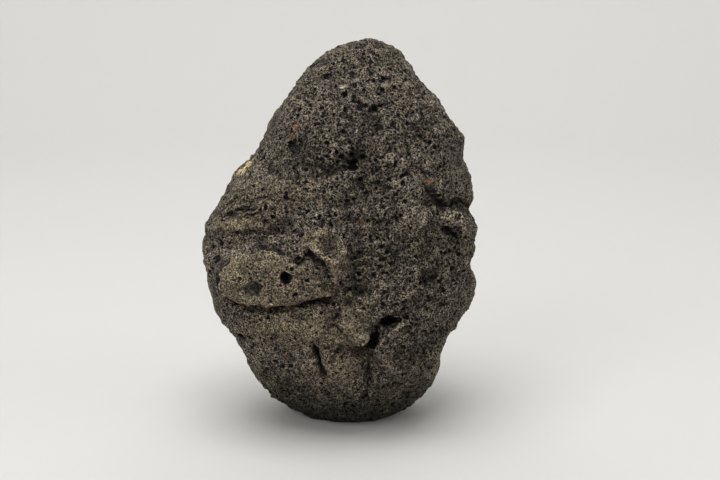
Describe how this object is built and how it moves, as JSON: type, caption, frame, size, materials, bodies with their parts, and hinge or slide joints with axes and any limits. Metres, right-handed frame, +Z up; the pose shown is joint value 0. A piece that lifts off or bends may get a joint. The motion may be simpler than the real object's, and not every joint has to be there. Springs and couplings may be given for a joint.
{
  "type": "lava rock",
  "caption": "Upright egg-shaped stone of dark porous basalt, narrow at the top, standing on a small worn flat, with a swollen lip and a round hole in front.",
  "frame": {"origin": "the point on the floor under the middle of the stone's bounding box", "axes": "+Z up, -Y out of the side with the long lip and the round hole, +X to the right as that side is looked at"},
  "size_m": [0.1331, 0.115, 0.1844],
  "materials": {
    "porous_basalt": "matt, rough and porous"
  },
  "bodies": {
    "root": {"lava_rock": "porous_basalt"}
  },
  "joints": []
}
